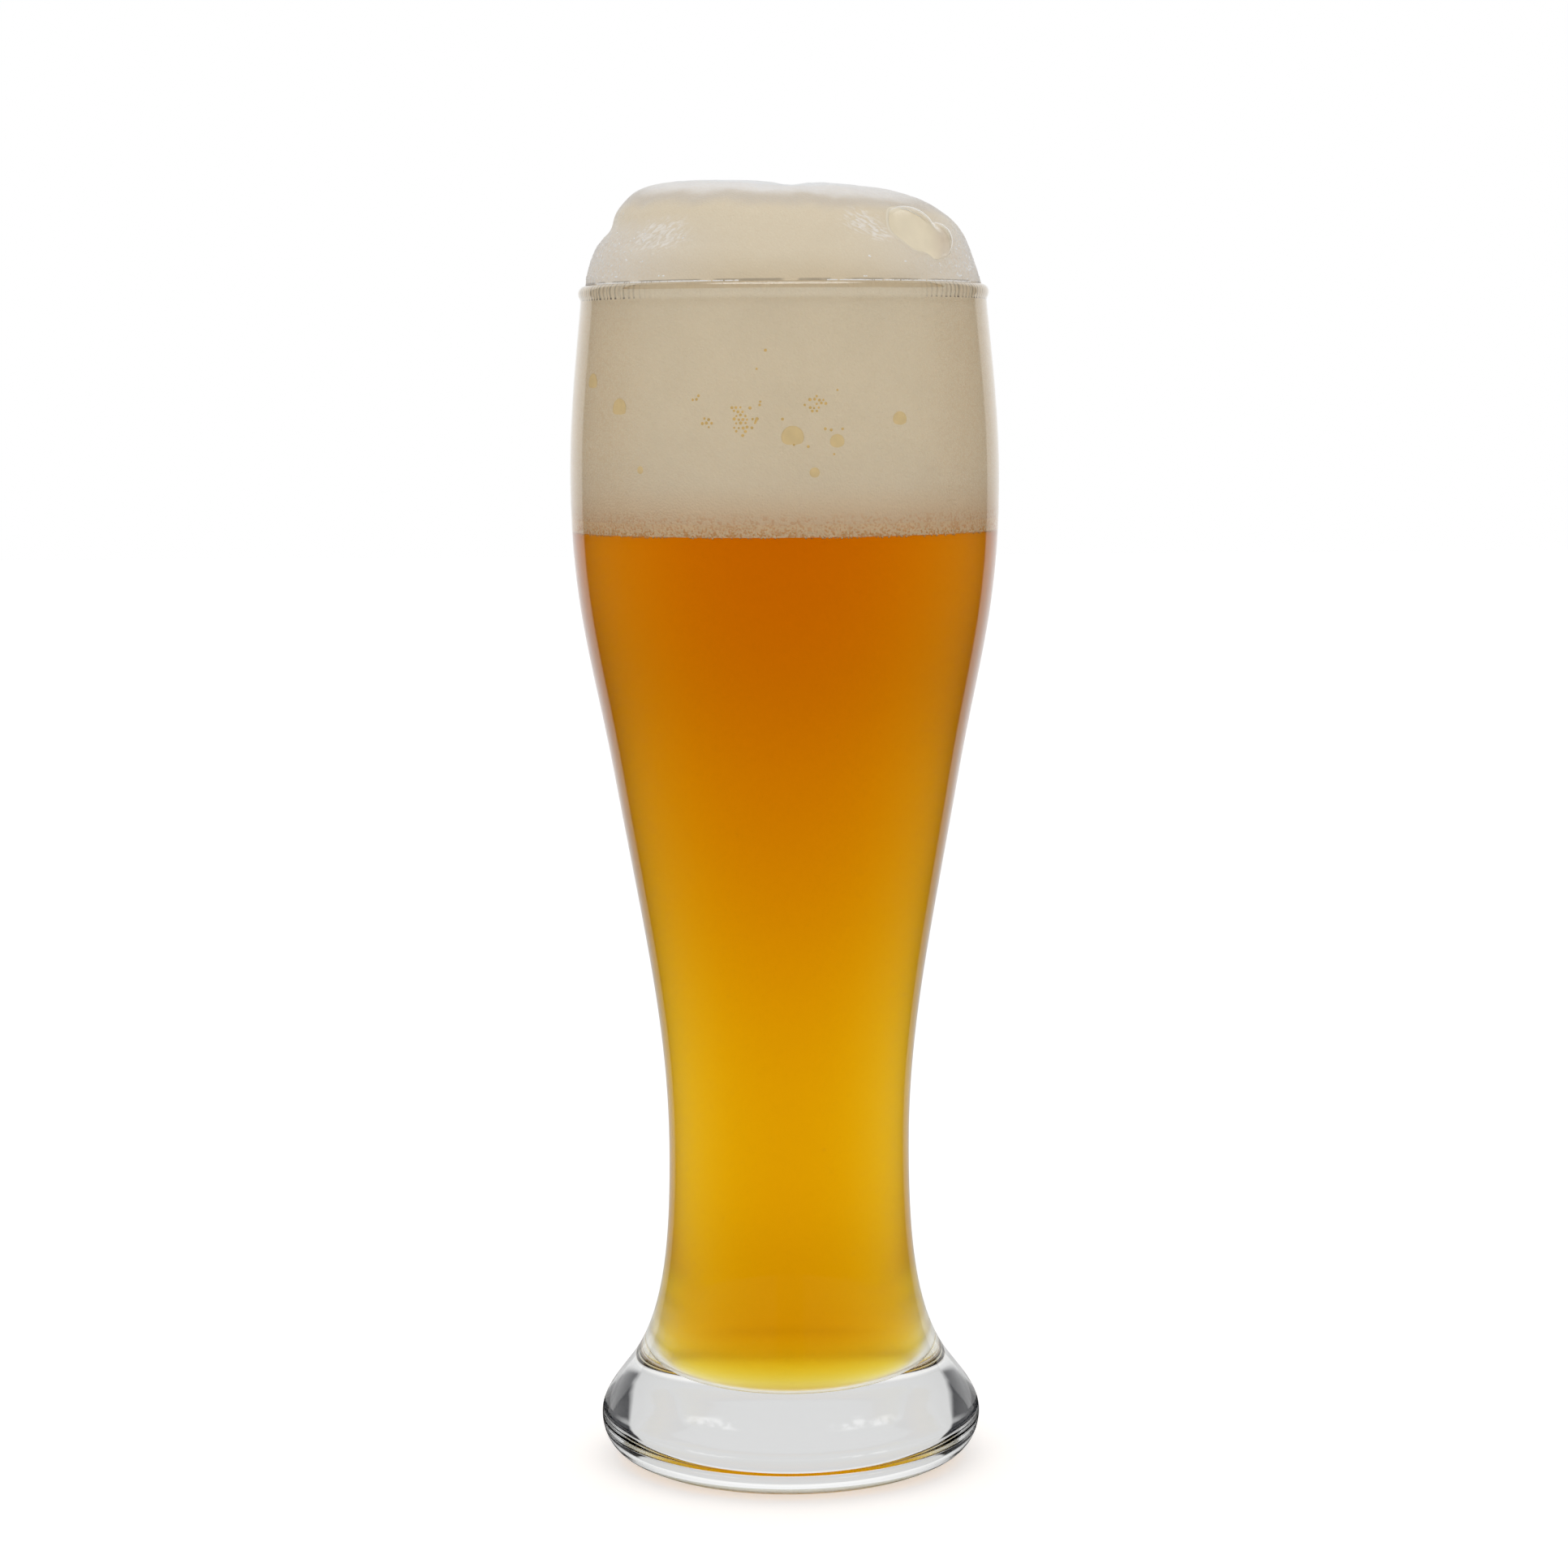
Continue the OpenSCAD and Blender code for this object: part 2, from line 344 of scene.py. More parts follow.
def softened(points, step, spreadAt):
    # an even copy of an outline, averaged over a short length, so that no kink shows in the glass
    spaced, rest = [points[0]], 0.0
    for one, two in zip(points, points[1:]):
        span = (two - one).length
        while rest + step <= span:
            rest += step
            spaced.append(one.lerp(two, rest / span))
        rest -= span
    spaced.append(points[-1])
    made = []
    for i, point in enumerate(spaced):
        spread = spreadAt(point) / step
        reach = min(int(2.5 * spread), i, len(spaced) - 1 - i)
        total, weight = Vector((0, 0)), 0.0
        for k in range(-reach, reach + 1):
            share = math.exp(-0.5 * (k / spread) ** 2)
            total += share * spaced[i + k]
            weight += share
        made.append(total / weight)
    return made


def thinned(points, turn, gap):
    # fewer points where the outline runs straight
    made = [points[0]]
    for point, after in zip(points[1:], points[2:]):
        last = made[-2] if len(made) > 1 else None
        bend = 0.0 if last is None else abs((made[-1] - last).angle_signed(after - point))
        if (point - made[-1]).length >= gap or bend >= math.radians(turn):
            made.append(point)
    return made + [points[-1]]


def swollen(points, gap):
    # the same outline moved out of its cavity by a gap, to the right of its way up
    made = []
    for i, point in enumerate(points):
        along = (points[min(i + 1, len(points) - 1)] - points[max(i - 1, 0)]).normalized()
        made.append(point + gap * Vector((along.y, -along.x)))
    return made


def ringOf(radius, height, sides):
    turns = [2 * math.pi * k / sides for k in range(sides)]
    return [(radius * math.cos(a), radius * math.sin(a), height) for a in turns]


def gridMesh(name, rows, sides, marks=None, sharp=None):
    # rows of points round the axis; a row of one point closes the end
    mesh = bpy.data.meshes.new(name)
    points, starts = [], []
    for row in rows:
        starts.append(len(points))
        points.extend(row)
    faces = []
    for i in range(len(rows) - 1):
        a, b = starts[i], starts[i + 1]
        for k in range(sides):
            n = (k + 1) % sides
            if len(rows[i]) == 1:
                faces.append((a, b + n, b + k))
            elif len(rows[i + 1]) == 1:
                faces.append((a + k, a + n, b))
            else:
                faces.append((a + k, a + n, b + n, b + k))
    mesh.from_pydata(points, [], faces)
    mesh.shade_smooth()
    for key, values in (marks or {}).items():
        mesh.attributes.new(key, "FLOAT", "POINT").data.foreach_set("value", values)
    if sharp is not None:
        mesh.set_sharp_from_angle(angle=math.radians(sharp))
    return mesh


def turnedMesh(name, outline, sides, slotOf=None):
    rows = [[(0, 0, p.y)] if p.x < tiny else ringOf(p.x, p.y, sides) for p in outline]
    mesh = gridMesh(name, rows, sides, sharp=40)
    if slotOf:
        mesh.polygons.foreach_set("material_index", [slotOf(i // sides) for i in range(len(mesh.polygons))])
    return mesh


def addPiece(name, mesh, materials, stands):
    piece = bpy.data.objects.new(name, mesh)
    scene.collection.objects.link(piece)
    if len(mesh.materials) == 0:
        for material in materials:
            mesh.materials.append(material)
    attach(piece, "root")
    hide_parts(stands)
    print("piece:", name, len(mesh.polygons), "faces")


# Heights and radii that the pieces share
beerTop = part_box("beer")[1].z
headLow, headTop = (corner.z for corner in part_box("foam_head"))
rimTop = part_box("glass")[1].z
rawOutline = turnedOutline("glass")
rawOutline.append(Vector((0, rawOutline[-1].y)))
ringIndex = max(i for i, point in enumerate(rawOutline) if point.y < tiny)
# the hollow under the foot, flatter than in the solid, as the reflections in the foot show it
underLook = {
    "ring": 31.0,  # mm, radius of the ring
    "reach": 30.3,  # mm, radius of the hollow
    "deep": 2.6,  # mm
    "square": 10,
    "steps": 60,
    "heel": (0.3, 2.0),  # mm outside the ring, or up, from where the solid's outline goes on
}
softLook = {  # mm
    "step": 0.15,
    "fine": 0.3,  # how far corners are softened at the lip and under the foot
    "wide": 1.1,  # and elsewhere
    "lip": 5.0,  # the fine stretch under the rim
    "under": 4.0,  # the fine stretch up from the table
    "bend": 4,  # degrees of bend that keep a point
    "gap": 2.5,  # the longest gap between points
}


def hollowed(points):
    ring, steps = underLook["ring"] * mm, underLook["steps"]
    aside, high = (x * mm for x in underLook["heel"])
    made = []
    for i in range(steps):
        away = i / steps * underLook["ring"] / underLook["reach"]
        deep = underLook["deep"] * mm * max(0.0, 1 - away ** underLook["square"])
        made.append(Vector((ring * i / steps, deep)))
    made.append(Vector((ring, 0)))
    return made + [p for p in points[ringIndex:] if p.x > ring + aside or p.y > high]


def spreadAt(point):
    under = point.x < underLook["ring"] * mm and point.y < softLook["under"] * mm
    lip = point.y > rimTop - softLook["lip"] * mm
    return softLook["fine" if lip or under else "wide"] * mm


glassOutline = softened(hollowed(rawOutline), softLook["step"] * mm, spreadAt)
glassOutline = thinned(glassOutline, softLook["bend"], softLook["gap"] * mm)
lipIndex = max(range(len(glassOutline)), key=lambda i: glassOutline[i].y)
cavity = glassOutline[lipIndex:][::-1]
contact = 0.12 * mm  # how far the filling sinks into the glass, so that no air shows between them
foamContact = 1.3 * contact
bubbleContact = foamContact - 0.02 * mm
print("outline:", len(glassOutline), "points")


def cavityRadius(height):
    for low, high in zip(cavity, cavity[1:]):
        if low.y <= height <= high.y and high.y > low.y:
            return low.x + (high.x - low.x) * (height - low.y) / (high.y - low.y)
    return cavity[-1].x


def cavityBetween(low, high):
    ends = [Vector((cavityRadius(height), height)) for height in (low, high)]
    return ends[:1] + [p for p in cavity if low < p.y < high] + ends[1:]


# Glass
glassLook = {
    "sides": 192,
    "tone": (0.985, 0.992, 0.99, 1),
    "ior": 1.52,
    "ripple": (14.0, 0.010),  # mm, length and depth of the faint waves in the pressed glass
    "underRipple": (7.0, 0.02),  # mm, the same under the foot
    "underRough": 0.02,
    "ringRough": 0.35,  # the ring is worn by tables
    "ringHeight": 0.45,  # mm up to which the heel is worn
}


def clearGlass(name, mirror, ripple, rough=0.0):
    material, tree, shader = newMaterial(name, {
        "Base Color": glassLook["tone"], "Roughness": rough, "IOR": glassLook["ior"],
        "Transmission Weight": 1.0, "Specular Tint": (mirror, mirror, mirror, 1)})
    length, depth = ripple
    addBump(shader, cloudAt(objectPlace(tree), length, 1.0), 1.0, depth)
    return material


def addGlass():
    worn = max(i for i in range(lipIndex) if glassOutline[i].y < glassLook["ringHeight"] * mm)

    def slotOf(i):
        if i < worn:
            return 2 if glassOutline[i].x < underLook["reach"] * mm else 3
        return 1 if i >= lipIndex and glassOutline[i].y <= headTop else 0

    wave, under = glassLook["ripple"], glassLook["underRipple"]
    looks = [clearGlass(*look) for look in (
        ("clearGlass", 1.0, wave), ("wettedGlass", 0.0, wave),
        ("underGlass", 1.0, under, glassLook["underRough"]), ("wornRing", 1.0, under, glassLook["ringRough"]))]
    mesh = turnedMesh("glassBody", glassOutline, glassLook["sides"], slotOf)
    addPiece("glassBody", mesh, looks, "glass")


# Beer
beerLook = {
    "sides": 192,
    "ior": 1.345,
    "haze": 0.28,  # roughness, for the yeast that blurs what is seen through the beer
    "depthTone": (0.964, 0.87, 0.05, 1),
    "depth": 200.0,
}


def addBeer():
    material, tree, _ = newMaterial("amberBeer", {
        "Base Color": (1, 1, 1, 1), "Roughness": beerLook["haze"], "IOR": beerLook["ior"],
        "Transmission Weight": 1.0, "Specular Tint": (0, 0, 0, 1)})
    drink = addNode(tree, "VolumeAbsorption", {
        "Color": beerLook["depthTone"], "Density": beerLook["depth"]})
    join(drink.outputs[0], tree.nodes["Material Output"].inputs["Volume"])
    wall = swollen([p for p in cavity if p.y < beerTop] + cavityBetween(beerTop, beerTop)[:1], contact)
    outline = wall + [Vector((0, wall[-1].y))]
    addPiece("beerFill", turnedMesh("beerFill", outline, beerLook["sides"]), [material], "beer")


# Foam, in the glass and above it
foamLook = {
    "headTone": (0.945, 0.865, 0.71, 1),
    "headCloud": (9, 0.03),  # mm, size of its patches, and how much darker they are
    "lowTone": (0.95, 0.75, 0.52, 1),
    "gapTone": (0.80, 0.63, 0.43, 1),
    "gapWidth": 0.22,  # share of a bubble
    "tintRise": 11.0,  # mm above the beer where the tint of the beer ends
    "wetRise": 3.0,  # mm above the fringe where its brown specks end
    "wetLevel": 0.4,
    "cell": 0.42,  # mm, the fine bubbles
    "grainSpan": (0.6, 0.95),  # shares of the radius between the middle and the sides
    "grain": (0.10, 0.45),  # how strongly they show in the middle and at the sides
    "bump": (0.5, 0.25),  # strength, and mm
    "sides": 192,
    "fringeTone": (0.98, 0.78, 0.52, 1),
    "fringeCloud": (2.5, 0.06),
    "fringeGap": (0.78, 0.40, 0.12, 1),
    "fringeWet": (0.9, 0.4),  # how strong its specks are at the beer and at the top
    "fringeCell": 0.38,  # mm
    "fringeBump": (0.5, 0.2),
}


def foamCells():
    # packed fine bubbles: a mask of the gaps between them, a height, and a value of its own for each
    group, given, put = newGroup("foamCells", "ShaderNodeTree", {"Size": "Float"},
                                 {"Gap": "Float", "Height": "Float", "Own": "Float"})
    packed = {"Vector": objectPlace(group), "Scale": calc("DIVIDE", 1.0, given["Size"])}
    edge = addNode(group, "TexVoronoi", packed, feature="DISTANCE_TO_EDGE").outputs["Distance"]
    dome = addNode(group, "TexVoronoi", packed, feature="F1").outputs
    join(fade(edge, 0.0, foamLook["gapWidth"], 1.0, 0.0), put["Gap"])
    join(calc("SUBTRACT", 1.0, dome["Distance"]), put["Height"])
    join(addNode(group, "SeparateColor", {0: dome["Color"]}).outputs[0], put["Own"])
    return group


lipLook = {
    "ticks": 170,  # fine upright gaps between the bubbles that press on the lip, with painted shade in them
    "thin": (0.10, 0.24),  # half width of a tick, in shares of its pitch
    "wobble": (1.3, 1.2),  # mm, size of their unevenness, and how far it shifts them
    "patchy": (0.35, 0.60, 0.4, 1.0),  # where the unevenness weakens them, and how much
    "drop": 2.9,  # mm under the rim where they end
    "sides": (0.60, 0.88),  # shares of the radius between which they come up
    # near black painted shade, for the gaps at the lip and the dark line where the crown meets the rim
    "tone": (0.05, 0.045, 0.055, 1),
    "level": (0.40, 1.0),  # how strong they are high up and at their lower ends
}


def lipGapShade():
    # a mask of painted shade in the fine upright gaps between the bubbles at the lip
    tree, _, put = newGroup("lipGapShade", "ShaderNodeTree", {}, {"Mask": "Float"})
    place = objectPlace(tree)
    x, y, z = axesOf(place)
    size, shift = lipLook["wobble"]
    wobble = cloudAt(scaled(place, (1, 1, 0.2)), size)
    turn = times(calc("ARCTAN2", y, x), lipLook["ticks"] / (2 * math.pi))
    tick = calc("PINGPONG", calc("ADD", turn, times(wobble, shift)), 0.5)
    tick = times(fade(tick, *lipLook["thin"], 1.0, 0.0), fade(wobble, *lipLook["patchy"]))
    radius = cavityRadius(headTop)
    side = fade(calc("ABSOLUTE", x), *(share * radius for share in lipLook["sides"]))
    low = rimTop - lipLook["drop"] * mm
    band = times(fade(z, low - 0.1 * mm, low + 0.1 * mm),
                 fade(z, rimTop - 0.5 * mm, rimTop - 0.1 * mm, 1.0, 0.0))
    high, lowest = lipLook["level"]
    level = fade(z, low + 0.3 * mm, low + 0.9 * mm, lowest, high)
    join(times(tick, side, band, level), put["Mask"])
    return tree


def addLipGapShade(colour, ticks):
    # paints the shade of the gaps at the lip over a colour
    mask = addNode(colour.id_data, "Group", node_tree=ticks).outputs["Mask"]
    return mixTone(mask, colour, lipLook["tone"])


def addCells(tree, cells, size):
    made = addNode(tree, "Group", {"Size": size * mm}, node_tree=cells)
    return made.outputs["Gap"], made.outputs["Height"], made.outputs["Own"]


def addLayer(name, material, low, high, stands):
    wall = swollen(cavityBetween(low, high), foamContact)
    outline = [Vector((0, low))] + wall + [Vector((0, high))]
    addPiece(name, turnedMesh(name, outline, foamLook["sides"]), [material], stands)


def addFoamHead(cells, ticks):
    material, tree, shader = newMaterial("headFoam", {
        "Roughness": 0.5, "IOR": wetIor, "Specular IOR Level": 0.3})
    x, _, height = axesOf(objectPlace(tree))
    tint = fade(height, beerTop, beerTop + foamLook["tintRise"] * mm, 1.0, 0.0)
    colour = cloudy(tree, foamLook["headTone"], *foamLook["headCloud"])
    colour = mixTone(tint, colour, foamLook["lowTone"])
    gap, dome, own = addCells(tree, cells, foamLook["cell"])
    near, far = (share * cavityRadius(headTop) for share in foamLook["grainSpan"])
    grain = fade(calc("ABSOLUTE", x), near, far, *foamLook["grain"])
    dull = times(calc("MAXIMUM", gap, fade(own, 0.5, 1.0)), grain)
    colour = mixTone(dull, colour, foamLook["gapTone"])
    wet = fade(height, headLow, headLow + foamLook["wetRise"] * mm, foamLook["wetLevel"], 0.0)
    colour = mixTone(times(wet, fade(own, 0.45, 0.95)), colour, foamLook["fringeGap"])
    join(addLipGapShade(colour, ticks), shader.inputs["Base Color"])
    addBump(shader, dome, *foamLook["bump"])
    addLayer("foamHead", material, headLow, headTop, "foam_head")


def addFringeBody(cells):
    material, tree, shader = newMaterial("wetFoam", {"Roughness": 0.35, "IOR": wetIor})
    _, dome, own = addCells(tree, cells, foamLook["fringeCell"])
    height = axesOf(objectPlace(tree))[2]
    wet = times(fade(own, 0.35, 0.9), fade(height, beerTop, headLow, *foamLook["fringeWet"]))
    colour = cloudy(tree, foamLook["fringeTone"], *foamLook["fringeCloud"])
    join(mixTone(wet, colour, foamLook["fringeGap"]), shader.inputs["Base Color"])
    addBump(shader, dome, *foamLook["fringeBump"])
    addLayer("fringeBody", material, beerTop, headLow, "bubble_fringe")


# The crown follows the same rule as its solid, with lumps, creases and froth
crownLook = {
    "sides": 400,
    "rows": 110,
    "height": 19.6,
    "square": 3.9,
    "lean": 0.55,
    "taper": 0.13,
    "fall": 0.03,
    "highSide": 180,
    "lipGap": 0.1,
    "lipRise": 1.5,  # mm above the lip where lumps and creases are full
    "lumps": ((16.0, 0.5), (5.0, 0.2), (1.7, 0.06)),  # size and height in mm
    "forms": (  # direction and half width in degrees, height, spread and push in mm
        (180, 95, 11.4, 2.8, -1.5),  # notch under the left shoulder
        (190, 80, 18.6, 2.0, 0.9),  # left shoulder
        (226, 30, 7.5, 1.8, -0.7),  # crease at the front left
        (300, 18, 9.5, 2.0, -0.8),  # crease beside the bubble
        (252, 45, 14.0, 3.0, 0.5),  # swell at the front
        (276, 24, 19.4, 1.4, -0.9),  # dip in the top
    ),
    # tones from the lip to the top, with painted shade low down and in a belt under the shoulder, and a painted
    # highlight on top
    "tones": ((0.0, (0.76, 0.635, 0.45, 1)), (0.32, (0.845, 0.73, 0.545, 1)), (0.66, (0.855, 0.74, 0.555, 1)),
              (0.79, (0.735, 0.65, 0.535, 1)), (0.93, (0.98, 0.935, 0.88, 1)), (1.0, (1, 1, 0.99, 1))),
    "cloud": (7, 0.16),  # mm, size of the patches that shift the tones, and how far
    "lipTone": 0.3,  # where the foam inside the lip takes its tone
    "frothTone": (0.86, 0.82, 0.765, 1),
    "frothSides": ((180, 85), (0, 80)),  # direction and half width in degrees
    "frothTop": (13, 5),  # mm up where the froth ends, and over how much
    "coarse": (0.9, 0.45),  # mm, the larger bubbles of the froth, and how dark their gaps are
    "speck": (0.12, 0.5),  # how strongly fine bubbles show in smooth foam and in froth
    "bump": (0.6, 0.35),
    "rimShadowFade": (0.30, 0.50, 0.4),  # mm above the rim where the painted dark shadow line fades, and its strength
    # near white, for the painted highlights in streaks
    "glintStreakTone": (1, 0.94, 0.86, 1),
    "glintPatches": ((228, 13, 9.0, 3.4), (296, 7, 11.4, 2.4), (301, 5, 9.2, 1.8)),  # direction, spread, height, spread
    "glintStreakSize": (1.5, 0.40, 28),  # mm long and thick, and the degrees that they rise towards the middle
    "glintLift": 0.14,  # how much denser they are in the middle of a patch
}
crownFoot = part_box("foam_crown")[1].x


def sector(turn, middle, half):
    # 1 in the middle of a span of directions, 0 at its ends
    away = abs((turn - middle + 180) % 360 - 180)
    return math.cos(math.pi / 2 * min(1.0, away / half)) ** 2


def bell(value, middle, spread):
    return math.exp(-((value - middle) / spread) ** 2)


def crownPoint(rise, turn):
    tilt = cosOf(turn - crownLook["highSide"])
    square = 2 / (crownLook["square"] + crownLook["lean"] * tilt)
    up = sinOf(rise) ** square
    out = max(0.0, cosOf(rise)) ** square * (1 - crownLook["taper"] * up)
    top = 1 + crownLook["fall"] * out * tilt
    gap = crownLook["lipGap"] * mm
    return Vector((crownFoot * out * cosOf(turn), crownFoot * out * sinOf(turn),
                   rimTop + gap + (crownLook["height"] * mm - gap) * up * top))


def crownForm(rise, turn):
    # the crown's skin with its lumps, how frothy it is there, and how much painted glint it has there
    point = crownPoint(rise, turn)
    height = (point.z - rimTop) / mm
    push = sum(sector(turn, middle, half) * bell(height, level, spread) * amount
               for middle, half, level, spread, amount in crownLook["forms"])
    push += sum(depth * noise.noise(point / mm / size) for size, depth in crownLook["lumps"])
    away = (point - Vector((0, 0, rimTop))).normalized()
    top, over = crownLook["frothTop"]
    froth = max(sector(turn, *side) for side in crownLook["frothSides"]) * held((top - height) / over)
    glintPatch = max(bell(turn, middle, spread) * bell(height, level, tall)
                for middle, spread, level, tall in crownLook["glintPatches"])
    return point + away * push * mm * held(height / crownLook["lipRise"]), froth, glintPatch


# The large bubble on the crown, in its own frame: Z out of the foam, X along its length
bubbleLook = {
    "turn": -42,
    "rise": 16,
    "back": 28,
    "dip": -25,
    "sink": 2.8,
    # middle, half length, half width and height in mm
    "lobes": ((-1.7, 0.2, 6.3, 5.4, 5.5), (4.8, 1.2, 3.9, 4.2, 4.7), (2.4, -0.9, 4.4, 3.7, 4.9)),
    "blend": 1.4,  # mm over which the lobes run into each other
    "film": 0.12,
    "filmTone": (1, 0.985, 0.94, 1),
    "mirror": (0.03, 0.03, 0.03, 1),
    "glint": (-3.6, 0.9, 0.07),  # mm, span along its length and pitch of the bright upper edge
    "glintBeads": {"size": (0.11, 0.13), "seed": 3},  # mm, radius
    "glintRise": 0.12,  # mm over the foam
    "middle": 1.5,  # mm along its length, inside both lobes
    "sides": 96,
    "rows": 26,
    "reach": (1.0, 11.0, 0.1),  # mm from its middle where its edge is looked for, in steps
    "depth": 1.3,  # mm, the hollow under the film
    "bed": 0.45,  # mm of room under the hollow
    "dishRows": 16,
    "dishRim": ((1.04, 0.02), (1.09, -0.35)),  # share of the edge, and mm over the foam
    "dishTone": (0.97, 0.88, 0.725, 1),
    "shadeTone": (0.82, 0.72, 0.61, 1),
    "shade": (3.0, 6.5),  # mm along its length where the shaded end begins and is full
    "edgeTone": (0.90, 0.81, 0.65, 1),
    "fadeFrom": 9.0,  # mm left of the base's middle where the hollow's tone begins
    "fadeOver": 5.0,
}
bubbleFrame = (Matrix.Translation(crownPoint(bubbleLook["rise"], bubbleLook["turn"]))
               @ Matrix.Rotation(math.radians(bubbleLook["turn"]), 4, "Z")
               @ Matrix.Rotation(math.radians(90 - bubbleLook["back"]), 4, "Y")
               @ Matrix.Rotation(math.radians(90 + bubbleLook["dip"]), 4, "Z")
               @ Matrix.Translation((0, 0, -bubbleLook["sink"] * mm)))


def domeHeight(x, y):
    # height of the joined lobes over their base, in mm
    best, blend = 0.0, bubbleLook["blend"]
    for midX, midY, halfL, halfW, high in bubbleLook["lobes"]:
        rest = 1 - ((x - midX) / halfL) ** 2 - ((y - midY) / halfW) ** 2
        if rest > 0:
            high *= math.sqrt(rest)
            near = max(0.0, blend - abs(best - high)) / blend
            best = max(best, high) + (near * near * blend / 4 if best > 0 else 0.0)
    return best


def crownRows():
    # rings of points from the middle of the head, inside the lip, to the top, with their marks
    sides, count = crownLook["sides"], crownLook["rows"]
    rows, froths, glintPatches, levels = [[(0, 0, headTop)]], [0.0], [0.0], [0.0]
    for place in swollen(cavityBetween(headTop, rimTop), contact):
        rows.append(ringOf(place.x, place.y, sides))
        froths += [0.0] * sides
        glintPatches += [0.0] * sides
        levels += [crownLook["lipTone"]] * sides
    for i in range(count):
        rise = 90 * (i / count) ** 1.5  # closer together near the lip
        made = [crownForm(rise, 360 * k / sides) for k in range(sides)]
        rows.append([tuple(point) for point, _, _ in made])
        froths += [froth for _, froth, _ in made]
        glintPatches += [glintPatch for _, _, glintPatch in made]
        levels += [sinOf(rise) ** (2 / crownLook["square"])] * sides
    rows.append([tuple(crownPoint(90, 0))])
    return rows, {"froth": froths + [0.0], "glintPatch": glintPatches + [0.0], "level": levels + [1.0]}


def shadedLevelTone(tree):
    # painted light by height: darker cream low down as painted shade, a painted shaded belt under the shoulder
    # and a painted near white highlight on top
    size, shift = crownLook["cloud"]
    cloud = calc("SUBTRACT", cloudAt(objectPlace(tree), size, 3.0), 0.5)
    level = calc("ADD", markOf(tree, "level"), times(cloud, shift))
    ramp = addNode(tree, "ValToRGB", {0: level})
    ramp.color_ramp.interpolation = "EASE"
    stops = ramp.color_ramp.elements
    while len(stops) < len(crownLook["tones"]):
        stops.new(0.5)
    for stop, (place, tone) in zip(stops, crownLook["tones"]):
        stop.position, stop.color = place, tone
    return ramp.outputs["Color"]


def paintedGlintMask(tree):
    # painted highlights: thin wrinkled streaks of near white, in patches
    x, y, z = axesOf(objectPlace(tree))
    folded = addNode(tree, "CombineXYZ", {0: calc("ABSOLUTE", x), 1: y, 2: z}).outputs[0]
    long, thick, lean = crownLook["glintStreakSize"]
    turned = addNode(tree, "VectorRotate", {
        "Vector": folded, "Axis": (0, 1, 0), "Angle": -math.radians(lean)}).outputs[0]
    turned = scaled(turned, tuple(1 / (size * mm) for size in (long, long, thick)))
    streak = addNode(tree, "TexNoise", {
        "Vector": turned, "Scale": 1.0, "Detail": 2.0, "Distortion": 0.6}).outputs[0]
    patch = markOf(tree, "glintPatch")
    level = calc("ADD", streak, times(patch, crownLook["glintLift"]))
    return times(fade(level, 0.50, 0.78), fade(patch, 0.05, 0.8, 0.0, 0.85))


def rimShadowLine(tree):
    # a painted dark line of shadow, broken here and there, where the crown meets the rim
    place = objectPlace(tree)
    height = axesOf(place)[2]
    low, high, strength = crownLook["rimShadowFade"]
    line = times(fade(height, rimTop + low * mm, rimTop + high * mm, strength, 0.0),
                 fade(height, rimTop - 0.15 * mm, rimTop))
    return times(line, fade(cloudAt(place, 4), 0.38, 0.55))


def addCrown(cells, ticks):
    material, tree, shader = newMaterial("crownFoam", {
        "Roughness": 0.6, "IOR": wetIor, "Specular IOR Level": 0.12, "Sheen Weight": 0.8,
        "Sheen Roughness": 0.35, "Sheen Tint": (0.95, 0.97, 1, 1)})
    froth = markOf(tree, "froth")
    size, dark = crownLook["coarse"]
    _, fineDome, own = addCells(tree, cells, foamLook["cell"])
    coarse, coarseDome, _ = addCells(tree, cells, size)
    colour = mixTone(froth, shadedLevelTone(tree), crownLook["frothTone"])
    speck = times(fade(own, 0.3, 1.0), fade(froth, 0.0, 1.0, *crownLook["speck"]))
    shade = calc("MAXIMUM", times(coarse, froth, dark), speck)
    colour = mixTone(shade, colour, foamLook["gapTone"])
    # painted highlights in wrinkled streaks, with a small bump
    glintPatches = paintedGlintMask(tree)
    colour = mixTone(glintPatches, colour, crownLook["glintStreakTone"])
    # painted shadow along the rim
    colour = mixTone(rimShadowLine(tree), colour, lipLook["tone"])
    join(addLipGapShade(colour, ticks), shader.inputs["Base Color"])
    dome = calc("ADD", times(fineDome, 0.35), times(coarseDome, froth))
    addBump(shader, calc("ADD", dome, times(glintPatches, 0.3)), *crownLook["bump"])

    rows, marks = crownRows()
    mesh = gridMesh("foamCrown", rows, crownLook["sides"], marks, 50)
    skin = BVHTree.FromPolygons([v.co for v in mesh.vertices], [p.vertices for p in mesh.polygons])
    edge = bubbleEdge(skin)
    inside = bubbleFrame.inverted()
    for vertex in mesh.vertices:
        local = inside @ vertex.co / mm
        share = edgeShare(edge, local)
        if share < 1 and local.z > 0:
            local.z -= dishDepth(share) + bubbleLook["bed"] * min(1.0, (1 - share) / 0.08)
            vertex.co = bubbleFrame @ (local * mm)
    addPiece("foamCrown", mesh, [material], "foam_crown")
    return skin, edge


def bubblePlace(x, y, height):
    return bubbleFrame @ (Vector((x, y, height)) * mm)


def skinHeight(skin, x, y):
    # height of the crown's skin over the bubble's base, in mm
    hit = skin.ray_cast(bubblePlace(x, y, 15), -bubbleFrame.col[2].to_3d())[0]
    return (bubbleFrame.inverted() @ hit).z / mm if hit else 0.0


